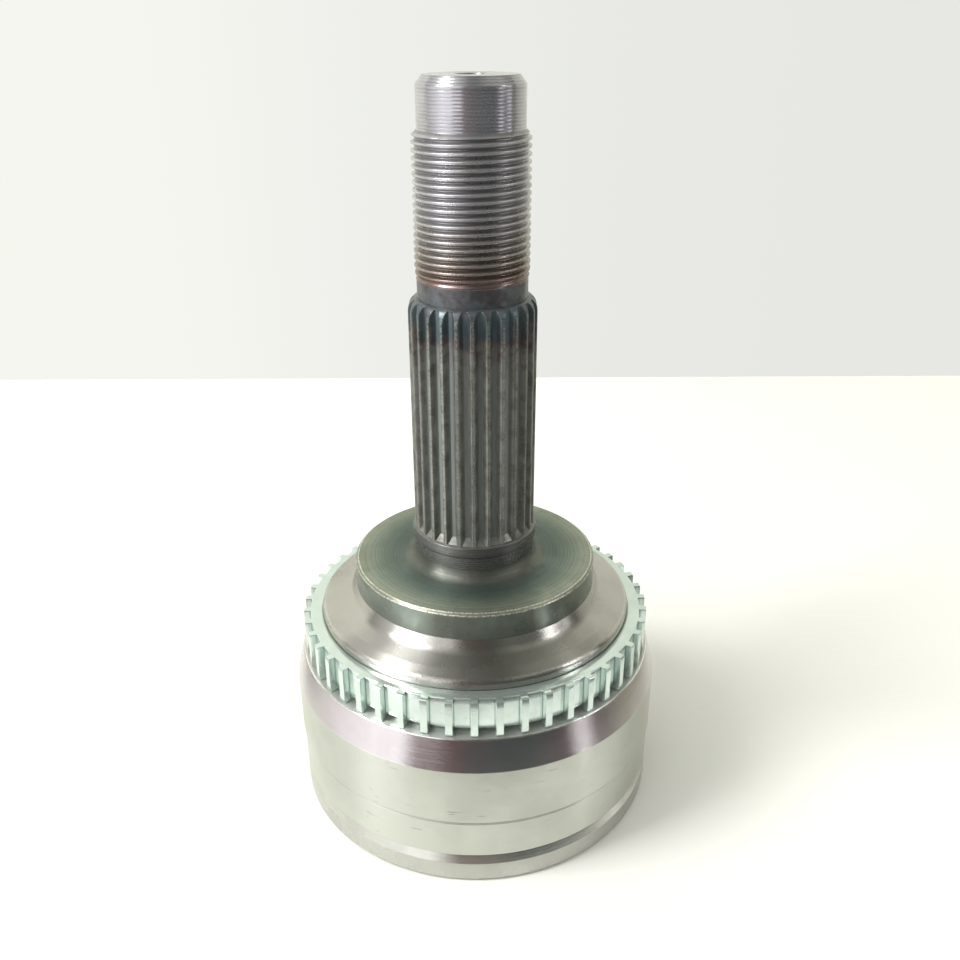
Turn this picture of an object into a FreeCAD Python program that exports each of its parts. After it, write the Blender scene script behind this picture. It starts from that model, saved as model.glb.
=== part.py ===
"""Fixed ball-type constant-velocity joint for the wheel end of a front drive shaft.

The joint stands on the mouth of its bell with the stub axle pointing up. A ball runs in each pair of
facing tracks of the outer race and the inner race, and the cage holds all the balls in the plane that
halves the joint angle. Sizes are in millimetres. +Z runs up the stub axle, and the origin is the centre
of the mouth plane. The first ball lies on +X, and the inner race tilts about the X direction.
"""

import FreeCAD, Part
import math
import os

AXIS = FreeCAD.Vector(0, 0, 1)
ORIGIN = FreeCAD.Vector(0, 0, 0)
CUT_OVER = 1.0             # how far a cutter reaches past the metal
SAME_POINT = 1e-6          # points closer than this are one point
STRAIGHT = 1e-4            # a corner that turns less than this, in radians, gets no arc
ARC_SHARE = 0.49           # most of a side that one corner's arc may take

# ---- Balls and tracks
BALL_COUNT = 6
BALL_D = 15.875            # a 5/8 inch bearing ball
PITCH_R = 28.0             # ball centre to joint axis, with the joint straight
TRACK_OFFSET = 2.5         # each race's track centre to the joint centre, along the axis
TRACK_GAP = 0.25           # ball to track wall
MAX_ANGLE = 45.0           # largest joint angle, in degrees
CENTRE_Z = 26.0            # mouth plane to joint centre
TRACK_DEEP_ANGLE = 38.0    # where an outer track ends, above its own centre, in degrees
TRACK_MOUTH_ANGLE = 75.0   # how far an outer track runs below its own centre, in degrees
INNER_TRACK_ANGLE = 60.0   # how far an inner track runs each side of its own centre, in degrees

# ---- Cage
CAGE_PROUD = 3.4           # cage outer sphere outside the pitch radius
CAGE_THICKNESS = 4.4
CAGE_BAND = 5.0            # height of the ring of metal above and below the windows
CAGE_ENTRY_INSET = 2.0     # cylindrical entry bore, inside the radius of the inner sphere
CAGE_EDGE = 0.5            # chamfer on the cage's outer edges
WINDOW_GAP = 0.3           # ball to window, along the axis
WINDOW_SIDE_GAP = 0.9      # ball to window, round the cage, at the largest joint angle
WINDOW_CORNER_R = 4.0
SPHERE_GAP = 0.3           # running gap at each of the cage's two spheres

# ---- Inner race
HUB_HALF_WIDTH = 11.5
HUB_EDGE = 1.0
BORE_TEETH = 22
BORE_TOOTH_DEPTH = 1.0
BORE_TIP_SPACE = 0.56      # share of one tooth pitch that is space, at the teeth's tips
BORE_ROOT_SPACE = 0.44     # the same at their roots
BORE_MAJOR_D = 22.4
BORE_LEAD_IN = 0.8         # chamfer at each end of the bore
CLIP_WIRE_D = 1.6
CLIP_RISE = 7.5            # inner race's mid-plane to the clip groove
CLIP_GROOVE_DEPTH = 1.4    # below the spline's major radius
CLIP_GAP = 0.2             # clip wire to groove, on each side
CLIP_OPENING = 40.0        # opening of the clip, in degrees

# ---- Bell, from the mouth upwards
BELL_WALL = 7.3            # metal outside a track, at the joint centre
RIM_HEIGHT = 5.1
RIM_CORNER_R = 1.2
RIM_EDGE_R = 0.4
RIM_WALL = 6.5             # rim's outer radius to the opening of the mouth
MOUTH_LAND_DROP = 13.0     # joint centre down to where the mouth's cone begins
BOOT_GROOVE_WIDTH = 2.7    # groove slopes in from the rim up to a square step under the boot seat
BOOT_GROOVE_DEPTH = 0.9
BOOT_STEP_R = 0.2
BOOT_SEAT_HEIGHT = 9.4
BOOT_SEAT_STEP = 0.3       # bell stands proud of the boot seat
BELL_STRAIGHT = 14.1
CONE_HEIGHT = 7.3
CONE_INSET = 1.9
CONE_EDGE_R = 0.3
SHOULDER_LEDGE = 0.6       # shoulder left bare outside the tone ring
ROOF_GAP = 1.0             # inner race's reach to the cavity's roof

# ---- Tone ring
RING_TEETH = 48
RING_HEIGHT = 8.8
RING_RADIAL = 4.6
RING_TOOTH_WIDTH = 1.7
RING_TOOTH_DEPTH = 1.5
RING_LIFT = 1.6            # floor between the teeth ends this far above the shoulder
RING_FOOT_INSET = 1.2      # foot that stands on the shoulder, inside the floor between the teeth
RING_CORNER_R = 0.5

# ---- Back of the bell and flange
BACK_PROUD = 1.8           # ring seat's top edge above the tone ring's top
BACK_EDGE_R = 1.2
BACK_RISE = 4.9            # from the seat's top edge up to the flange's underside
BACK_CROWN_INSET = 2.8     # crown of the back, inside its edge
BACK_CROWN_RISE = 1.3
BACK_CROWN_R = 4.0
BACK_COVE_INSET = 1.6      # cove's deepest corner, outside the flange
BACK_COVE_DROP = 2.2       # and below the flange's underside
BACK_COVE_R = 3.0
FLANGE_D = 56.0
FLANGE_HEIGHT = 6.4
FLANGE_EDGE = 0.6

# ---- Stub axle
NECK_HEIGHT = 5.4          # flange face to the bottom of the collar
NECK_D = 27.7
NECK_FILLET_R = 4.8
COLLAR_D = 28.5
COLLAR_HEIGHT = 2.5
COLLAR_EDGE_R = 0.3
SPLINE_TEETH = 26
SPLINE_D = 27.4
SPLINE_ROOT_D = 24.9
SPLINE_LENGTH = 53.2
SPLINE_RUNOUT = 1.8        # length over which a tooth space rises out at the collar
SPLINE_TIP_SPACE = 0.74    # share of one tooth pitch that is space, at the teeth's tips
SPLINE_ROOT_SPACE = 0.30   # the same at their roots
SPLINE_SHOULDER = 2.4      # length of the rounded shoulder at the spline's top
SPLINE_SHOULDER_R = 1.6
RELIEF_D = 23.3
RELIEF_LENGTH = 3.2
RELIEF_R = 0.4             # inner corners at the relief and the pilot
THREAD_D = 23.9            # crest of an M24 x 1.5 thread, left plain here
THREAD_LENGTH = 29.9
THREAD_LEAD = 1.2
PILOT_D = 21.7
PILOT_LENGTH = 9.8
PILOT_EDGE_HEIGHT = 1.7
PILOT_EDGE_INSET = 1.3
PILOT_EDGE_R = 0.3
CENTRE_HOLE_D = 6.4        # lathe centre in the end of the stub axle
CENTRE_DRILL_D = 2.6
CENTRE_DRILL_DEPTH = 9.0
CENTRE_CONE_ANGLE = 60.0   # included angle of the lathe centre, in degrees

# ---- Derived sizes
BALL_R = BALL_D / 2
TRACK_R = math.hypot(PITCH_R, TRACK_OFFSET)
GROOVE_R = BALL_R + TRACK_GAP
CAGE_OUTER_R = PITCH_R + CAGE_PROUD
CAGE_INNER_R = CAGE_OUTER_R - CAGE_THICKNESS
CAGE_HALF_HEIGHT = BALL_R + WINDOW_GAP + CAGE_BAND
RACE_SPHERE_R = CAGE_OUTER_R + SPHERE_GAP
HUB_R = CAGE_INNER_R - SPHERE_GAP
CLIP_SEAT_R = BORE_MAJOR_D / 2 + CLIP_GROOVE_DEPTH

BELL_R = PITCH_R + GROOVE_R + BELL_WALL
BOOT_SEAT_R = BELL_R - BOOT_SEAT_STEP
MOUTH_R = BOOT_SEAT_R - RIM_WALL
SHOULDER_R = BELL_R - CONE_INSET
RING_OUTER_R = SHOULDER_R - SHOULDER_LEDGE
RING_SEAT_R = RING_OUTER_R - RING_RADIAL

GROOVE_Z = RIM_HEIGHT
BOOT_SEAT_Z = GROOVE_Z + BOOT_GROOVE_WIDTH
STEP_Z = BOOT_SEAT_Z + BOOT_SEAT_HEIGHT
CONE_Z = STEP_Z + BELL_STRAIGHT
SHOULDER_Z = CONE_Z + CONE_HEIGHT
BACK_Z = SHOULDER_Z + RING_HEIGHT + BACK_PROUD
FLANGE_Z = BACK_Z + BACK_RISE
FLANGE_TOP_Z = FLANGE_Z + FLANGE_HEIGHT
COLLAR_Z = FLANGE_TOP_Z + NECK_HEIGHT
SPLINE_Z = COLLAR_Z + COLLAR_HEIGHT
SPLINE_TOP_Z = SPLINE_Z + SPLINE_LENGTH
THREAD_Z = SPLINE_TOP_Z + RELIEF_LENGTH
PILOT_Z = THREAD_Z + THREAD_LENGTH
TOP_Z = PILOT_Z + PILOT_LENGTH


def at(radius, z, degrees=0.0):
    """Point at a radius and height, turned about the joint's axis."""
    turn = math.radians(degrees)
    return FreeCAD.Vector(radius * math.cos(turn), radius * math.sin(turn), z)


def copies(shape, count):
    """The shape repeated evenly round the joint's axis."""
    made = []
    for i in range(count):
        turned = shape.copy()
        turned.rotate(ORIGIN, AXIS, 360.0 * i / count)
        made.append(turned)
    return made


def rounded_wire(corners):
    """Closed wire in the XZ plane through (radius, z) corners; a third number rounds that corner."""
    points = [at(c[0], c[1]) for c in corners]
    count = len(corners)
    entries = []
    exits = []
    arcs = []
    for i, corner in enumerate(corners):
        here = points[i]
        wanted = corner[2] if len(corner) > 2 else 0.0
        back = points[i - 1] - here
        ahead = points[(i + 1) % count] - here
        half = back.getAngle(ahead) / 2
        if wanted <= 0 or math.pi - 2 * half < STRAIGHT:
            entries.append(here)
            exits.append(here)
            arcs.append(None)
            continue
        setback = min(wanted / math.tan(half), ARC_SHARE * back.Length, ARC_SHARE * ahead.Length)
        radius = setback * math.tan(half)
        back.normalize()
        ahead.normalize()
        inward = back + ahead
        inward.normalize()
        entries.append(here + back * setback)
        exits.append(here + ahead * setback)
        arcs.append(here + inward * (radius / math.sin(half) - radius))
    edges = []
    for i in range(count):
        if arcs[i] is not None:
            edges.append(Part.Arc(entries[i], arcs[i], exits[i]).toShape())
        following = (i + 1) % count
        if (entries[following] - exits[i]).Length > SAME_POINT:
            edges.append(Part.makeLine(exits[i], entries[following]))
    return Part.Wire(edges)


def turned(corners):
    """Solid turned about the joint's axis from rounded corners."""
    return Part.Face(rounded_wire(corners)).revolve(ORIGIN, AXIS, 360)


def ball_window_drift():
    """Furthest that a ball moves round its cage window as the joint bends."""
    half_angle = math.radians(MAX_ANGLE / 2)
    furthest = 0.0
    for i in range(BALL_COUNT):
        place = 2 * math.pi * i / BALL_COUNT
        bent = math.atan2(math.sin(place), math.cos(place) * math.cos(half_angle))
        moved = abs(math.remainder(bent - place, 2 * math.pi))
        furthest = max(furthest, moved)
    return PITCH_R * furthest


def reach(sphere_r, half_height, degrees):
    """Height that the rim of a truncated sphere reaches when it tilts."""
    rim_angle = math.asin(half_height / sphere_r) + math.radians(degrees)
    return sphere_r * math.sin(min(rim_angle, math.pi / 2))


def track_tool(centre_z, low, high):
    """Ball-shaped cutter swept along the track in the +X half plane, between two angles in degrees."""
    pivot = FreeCAD.Vector(0, 0, centre_z)
    start = FreeCAD.Vector(TRACK_R, 0, centre_z)
    circle = Part.Circle(start, AXIS, GROOVE_R).toShape()
    section = Part.Face(Part.Wire([circle]))
    section.rotate(pivot, FreeCAD.Vector(0, 1, 0), -low)
    return section.revolve(pivot, FreeCAD.Vector(0, -1, 0), high - low)


def tooth_space(root_r, tip_r, root_share, tip_share, over_r, teeth, low_z, high_z):
    """Straight-sided cutter between two teeth on +X, from the roots past the tips to over_r.

    The shares are of one tooth pitch.
    """
    growth = (tip_share - root_share) / (tip_r - root_r)
    over_share = root_share + growth * (over_r - root_r)
    root_half = math.pi * root_r / teeth * root_share
    over_half = math.pi * over_r / teeth * over_share
    corners = [
        FreeCAD.Vector(root_r, -root_half, low_z),
        FreeCAD.Vector(over_r, -over_half, low_z),
        FreeCAD.Vector(over_r, over_half, low_z),
        FreeCAD.Vector(root_r, root_half, low_z),
    ]
    face = Part.Face(Part.makePolygon(corners + corners[:1]))
    return face.extrude(AXIS * (high_z - low_z))


def bell_and_stub_blank():
    """Turned outside of the outer race, still solid inside."""
    flange_r = FLANGE_D / 2
    groove_r = BOOT_SEAT_R - BOOT_GROOVE_DEPTH
    neck_r = NECK_D / 2
    collar_r = COLLAR_D / 2
    relief_r = RELIEF_D / 2
    return turned([
        (0, 0),
        (BOOT_SEAT_R, 0, RIM_CORNER_R),
        (BOOT_SEAT_R, GROOVE_Z, RIM_EDGE_R),
        (groove_r, BOOT_SEAT_Z, BOOT_STEP_R),
        (BOOT_SEAT_R, BOOT_SEAT_Z, BOOT_STEP_R),
        (BOOT_SEAT_R, STEP_Z),
        (BELL_R, STEP_Z + BOOT_SEAT_STEP),
        (BELL_R, CONE_Z, CONE_EDGE_R),
        (SHOULDER_R, SHOULDER_Z, CONE_EDGE_R),
        (RING_SEAT_R, SHOULDER_Z),
        (RING_SEAT_R, BACK_Z, BACK_EDGE_R),
        (RING_SEAT_R - BACK_CROWN_INSET, BACK_Z + BACK_CROWN_RISE, BACK_CROWN_R),
        (flange_r + BACK_COVE_INSET, FLANGE_Z - BACK_COVE_DROP, BACK_COVE_R),
        (flange_r, FLANGE_Z),
        (flange_r, FLANGE_TOP_Z - FLANGE_EDGE),
        (flange_r - FLANGE_EDGE, FLANGE_TOP_Z),
        (neck_r, FLANGE_TOP_Z, NECK_FILLET_R),
        (neck_r, COLLAR_Z),
        (collar_r, COLLAR_Z + collar_r - neck_r),
        (collar_r, SPLINE_Z, COLLAR_EDGE_R),
        (SPLINE_D / 2, SPLINE_Z + (collar_r - SPLINE_D / 2)),
        (SPLINE_D / 2, SPLINE_TOP_Z - SPLINE_SHOULDER, SPLINE_SHOULDER_R),
        (relief_r, SPLINE_TOP_Z, RELIEF_R),
        (relief_r, THREAD_Z - (THREAD_D - RELIEF_D) / 2),
        (THREAD_D / 2, THREAD_Z),
        (THREAD_D / 2, PILOT_Z - THREAD_LEAD),
        (PILOT_D / 2, PILOT_Z, RELIEF_R),
        (PILOT_D / 2, TOP_Z - PILOT_EDGE_HEIGHT, PILOT_EDGE_R),
        (PILOT_D / 2 - PILOT_EDGE_INSET, TOP_Z),
        (0, TOP_Z),
    ])


def bell_cavity():
    """Space inside the bell: the cage's sphere, its flat roof and the conical mouth."""
    roof_z = CENTRE_Z + reach(HUB_R, HUB_HALF_WIDTH, MAX_ANGLE) + ROOF_GAP
    centre = FreeCAD.Vector(0, 0, CENTRE_Z)
    sphere = Part.makeSphere(RACE_SPHERE_R, centre)
    keep = Part.makeCylinder(RACE_SPHERE_R + CUT_OVER, roof_z, ORIGIN, AXIS)
    land_z = CENTRE_Z - MOUTH_LAND_DROP
    land_r = math.sqrt(RACE_SPHERE_R ** 2 - MOUTH_LAND_DROP ** 2)
    mouth = Part.makeCone(MOUTH_R, land_r, land_z, ORIGIN, AXIS)
    return sphere.common(keep).fuse(mouth)


def outer_track():
    """Cutter for one outer track, closed by a ball end deep in the bell."""
    centre_z = CENTRE_Z - TRACK_OFFSET
    sweep = track_tool(centre_z, -TRACK_MOUTH_ANGLE, TRACK_DEEP_ANGLE)
    deep = math.radians(TRACK_DEEP_ANGLE)
    end = FreeCAD.Vector(TRACK_R * math.cos(deep), 0, centre_z + TRACK_R * math.sin(deep))
    return sweep.fuse(Part.makeSphere(GROOVE_R, end))


def stub_spline_space():
    """Cutter for one tooth space of the stub axle, whose floor slopes up and out at the collar."""
    tip_r = SPLINE_D / 2
    root_r = SPLINE_ROOT_D / 2
    under_r = root_r - CUT_OVER
    over_r = COLLAR_D / 2 + CUT_OVER
    high_z = SPLINE_TOP_Z + CUT_OVER
    space = tooth_space(
        root_r,
        tip_r,
        SPLINE_ROOT_SPACE,
        SPLINE_TIP_SPACE,
        over_r,
        SPLINE_TEETH,
        SPLINE_Z,
        high_z,
    )
    slope = SPLINE_RUNOUT / (tip_r - root_r)
    outline = Part.makePolygon([
        at(under_r, SPLINE_Z + slope * (tip_r - under_r)),
        at(over_r, SPLINE_Z + slope * (tip_r - over_r)),
        at(over_r, high_z),
        at(under_r, high_z),
        at(under_r, SPLINE_Z + slope * (tip_r - under_r)),
    ])
    pitch = 2 * math.pi * over_r / SPLINE_TEETH
    window = Part.Face(outline).extrude(FreeCAD.Vector(0, 2 * pitch, 0))
    window.translate(FreeCAD.Vector(0, -pitch, 0))
    return space.common(window)


def lathe_centre():
    """Centre hole in the end of the stub axle: a cone with a small drilled hole at its point."""
    drill_r = CENTRE_DRILL_D / 2
    mouth_r = CENTRE_HOLE_D / 2
    cone_depth = (mouth_r - drill_r) / math.tan(math.radians(CENTRE_CONE_ANGLE / 2))
    return turned([
        (0, TOP_Z - CENTRE_DRILL_DEPTH),
        (drill_r, TOP_Z - CENTRE_DRILL_DEPTH + drill_r / 2),
        (drill_r, TOP_Z - cone_depth),
        (mouth_r, TOP_Z),
        (mouth_r, TOP_Z + CUT_OVER),
        (0, TOP_Z + CUT_OVER),
    ])


def outer_race():
    """Bell with its ball tracks, and the splined stub axle in one piece with it."""
    body = bell_and_stub_blank()
    body = body.cut(bell_cavity())
    body = body.cut(copies(outer_track(), BALL_COUNT))
    body = body.cut(copies(stub_spline_space(), SPLINE_TEETH))
    return body.cut(lathe_centre()).removeSplitter()


def tone_ring():
    """Toothed ring pressed over the back of the bell, its foot and teeth standing on the shoulder."""
    floor_r = RING_OUTER_R - RING_TOOTH_DEPTH
    foot_r = floor_r - RING_FOOT_INSET
    low_z = SHOULDER_Z + RING_LIFT
    top_z = SHOULDER_Z + RING_HEIGHT
    body = turned([
        (RING_SEAT_R, SHOULDER_Z),
        (foot_r, SHOULDER_Z),
        (foot_r, low_z),
        (floor_r, low_z, RING_CORNER_R),
        (floor_r, top_z),
        (RING_SEAT_R, top_z),
    ])
    root_r = (RING_SEAT_R + foot_r) / 2
    half_width = RING_TOOTH_WIDTH / 2
    tip_r = math.sqrt(RING_OUTER_R ** 2 - half_width ** 2)
    tooth = Part.makeBox(
        tip_r - root_r,
        RING_TOOTH_WIDTH,
        RING_HEIGHT,
        FreeCAD.Vector(root_r, -half_width, SHOULDER_Z),
    )
    return body.fuse(copies(tooth, RING_TEETH)).removeSplitter()


def cage():
    """Spherical cage with one rounded window for each ball."""
    centre = FreeCAD.Vector(0, 0, CENTRE_Z)
    low_z = CENTRE_Z - CAGE_HALF_HEIGHT
    high_z = CENTRE_Z + CAGE_HALF_HEIGHT
    rim_r = math.sqrt(CAGE_OUTER_R ** 2 - CAGE_HALF_HEIGHT ** 2) - CAGE_EDGE
    over_r = CAGE_OUTER_R + CUT_OVER
    flare = over_r - rim_r
    blank = turned([
        (0, low_z),
        (rim_r, low_z),
        (over_r, low_z + flare),
        (over_r, high_z - flare),
        (rim_r, high_z),
        (0, high_z),
    ])
    shell = Part.makeSphere(CAGE_OUTER_R, centre).common(blank)
    bore_r = CAGE_INNER_R - CAGE_ENTRY_INSET
    bore = Part.makeCylinder(bore_r, high_z, ORIGIN, AXIS)
    shell = shell.cut(Part.makeSphere(CAGE_INNER_R, centre).fuse(bore))
    half_width = BALL_R + ball_window_drift() + WINDOW_SIDE_GAP
    half_height = BALL_R + WINDOW_GAP
    window = Part.makeBox(
        over_r - bore_r / 2,
        2 * half_width,
        2 * half_height,
        FreeCAD.Vector(bore_r / 2, -half_width, CENTRE_Z - half_height),
    )
    radial = [edge for edge in window.Edges if abs(edge.tangentAt(edge.FirstParameter).x) > 1 - STRAIGHT]
    window = window.makeFillet(WINDOW_CORNER_R, radial)
    return shell.cut(copies(window, BALL_COUNT)).removeSplitter()


def inner_race():
    """Spherical hub with a track for each ball and a splined bore with a clip groove."""
    low_z = CENTRE_Z - HUB_HALF_WIDTH
    high_z = CENTRE_Z + HUB_HALF_WIDTH
    rim_r = math.sqrt(HUB_R ** 2 - HUB_HALF_WIDTH ** 2) - HUB_EDGE
    over_r = HUB_R + CUT_OVER
    flare = over_r - rim_r
    major_r = BORE_MAJOR_D / 2
    minor_r = major_r - BORE_TOOTH_DEPTH
    clip_z = CENTRE_Z + CLIP_RISE
    clip_half = CLIP_WIRE_D / 2 + CLIP_GAP
    blank = turned([
        (minor_r, low_z + BORE_LEAD_IN + BORE_TOOTH_DEPTH),
        (major_r + BORE_LEAD_IN, low_z),
        (rim_r, low_z),
        (over_r, low_z + flare),
        (over_r, high_z - flare),
        (rim_r, high_z),
        (major_r + BORE_LEAD_IN, high_z),
        (minor_r, high_z - BORE_LEAD_IN - BORE_TOOTH_DEPTH),
    ])
    hub = Part.makeSphere(HUB_R, FreeCAD.Vector(0, 0, CENTRE_Z)).common(blank)
    track = track_tool(CENTRE_Z + TRACK_OFFSET, -INNER_TRACK_ANGLE, INNER_TRACK_ANGLE)
    hub = hub.cut(copies(track, BALL_COUNT))
    space = tooth_space(
        major_r,
        minor_r,
        BORE_ROOT_SPACE,
        BORE_TIP_SPACE,
        minor_r - CUT_OVER,
        BORE_TEETH,
        low_z - CUT_OVER,
        high_z + CUT_OVER,
    )
    hub = hub.cut(copies(space, BORE_TEETH))
    groove = turned([
        (minor_r - CUT_OVER, clip_z - clip_half),
        (CLIP_SEAT_R, clip_z - clip_half),
        (CLIP_SEAT_R, clip_z + clip_half),
        (minor_r - CUT_OVER, clip_z + clip_half),
    ])
    return hub.cut(groove).removeSplitter()


def retaining_ring():
    """Open round-wire ring, sprung out against the floor of the inner race's clip groove."""
    wire_r = CLIP_WIRE_D / 2
    clip_z = CENTRE_Z + CLIP_RISE
    centre_r = CLIP_SEAT_R - wire_r
    circle = Part.Circle(at(centre_r, clip_z), FreeCAD.Vector(0, 1, 0), wire_r).toShape()
    section = Part.Face(Part.Wire([circle]))
    ring = section.revolve(ORIGIN, AXIS, 360 - CLIP_OPENING)
    ring.rotate(ORIGIN, AXIS, CLIP_OPENING / 2)
    return ring


def main():
    """Build every piece and write one STEP file for each."""
    pieces = {
        "outer_race": outer_race(),
        "tone_ring": tone_ring(),
        "cage": cage(),
        "inner_race": inner_race(),
        "retaining_ring": retaining_ring(),
    }
    ball = Part.makeSphere(BALL_R, at(PITCH_R, CENTRE_Z))
    for number, placed in enumerate(copies(ball, BALL_COUNT), start=1):
        pieces[f"ball_{number}"] = placed
    os.makedirs("parts", exist_ok=True)
    for name, shape in pieces.items():
        shape.exportStep(f"parts/{name}.step")
        print(name, shape.isValid(), len(shape.Solids), round(shape.Volume, 1))


main()
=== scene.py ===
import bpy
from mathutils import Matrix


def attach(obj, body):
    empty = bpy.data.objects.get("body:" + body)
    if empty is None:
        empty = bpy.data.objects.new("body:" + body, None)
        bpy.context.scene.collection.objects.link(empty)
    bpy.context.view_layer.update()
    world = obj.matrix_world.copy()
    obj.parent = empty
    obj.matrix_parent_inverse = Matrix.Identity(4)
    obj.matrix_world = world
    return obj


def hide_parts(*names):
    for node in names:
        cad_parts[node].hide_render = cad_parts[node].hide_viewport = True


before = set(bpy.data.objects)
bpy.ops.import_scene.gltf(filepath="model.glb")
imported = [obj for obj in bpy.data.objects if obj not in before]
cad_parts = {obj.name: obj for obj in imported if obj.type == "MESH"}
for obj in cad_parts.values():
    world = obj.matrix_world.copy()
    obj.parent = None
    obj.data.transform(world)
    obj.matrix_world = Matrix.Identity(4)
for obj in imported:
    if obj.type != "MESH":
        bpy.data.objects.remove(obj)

"""Looks of the constant-velocity joint: the forging, its thread and finishes, and a plain studio.

The outer race is drawn again at full detail in four skins, each a surface worked out on a grid, and
keeps the frame's own inside. Every other piece is the frame's own, dressed.
Lengths in the classes are millimetres; a mesh is written in metres.
"""

import logging
import math
from dataclasses import dataclass, field
from enum import Enum

import bpy
import numpy as np
from mathutils import Vector

MM = 0.001
MIX_VALUE_A, MIX_VALUE_B = 2, 3     # a Mix node's inputs for plain values
MIX_A, MIX_B = 6, 7                 # and for colours
BUMP_MM = 0.2                       # height that full bump stands for
KNOCK_COLOUR = "#3c3a36"            # dirt in a small knock
KNOCK_STRETCH = 11.0                # knocks are this much longer round the piece than up it
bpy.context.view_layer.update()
log = logging.getLogger("joint")


class Zone(Enum):
    """Finish of one stretch of the outer race's skin; the value is its material slot."""

    BAND = 0
    GROOVE = 1
    CONE = 2
    BACK = 3
    FLANGE = 4
    NECK = 5
    SEAL = 6
    FACED_PAINTED_LIGHT = 7
    RIM = 8


# ---------------------------------------------------------------- shaders
def linear(code: str) -> tuple[float, float, float, float]:
    """Turn an sRGB hex colour into linear RGBA.

    Args:
        code: Colour as "#rrggbb".

    Returns:
        Linear red, green and blue with an alpha of one.
    """
    parts = [int(code[i:i + 2], 16) / 255 for i in (1, 3, 5)]
    low = [c / 12.92 if c <= 0.04045 else ((c + 0.055) / 1.055) ** 2.4 for c in parts]
    return (low[0], low[1], low[2], 1.0)


def node(
    tree: bpy.types.NodeTree, kind: str, links: dict | None = None, stops: tuple = (), **settings: object,
) -> bpy.types.Node:
    """Add one node with its settings, values and links.

    Args:
        tree: Node tree to add to.
        kind: Blender's node type name.
        links: Input name or index to a node or socket to link, or a value or hex colour to set.
        stops: For a colour ramp, the position and hex colour of each stop, in order.
        settings: Properties of the node itself.

    Returns:
        The new node.
    """
    made = tree.nodes.new(kind)
    for name, value in settings.items():
        setattr(made, name, value)
    for key, value in (links or {}).items():
        if isinstance(value, bpy.types.Node):
            value = next(out for out in value.outputs if out.enabled)
        if isinstance(value, bpy.types.NodeSocket):
            tree.links.new(value, made.inputs[key])
        else:
            made.inputs[key].default_value = linear(value) if isinstance(value, str) else value
    if stops:
        band = made.color_ramp
        ends = (band.elements[0], band.elements[1])
        for element, (place, code) in zip(ends, (stops[0], stops[-1])):
            element.position, element.color = place, linear(code)
        for place, code in stops[1:-1]:
            band.elements.new(place).color = linear(code)
    return made


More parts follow.
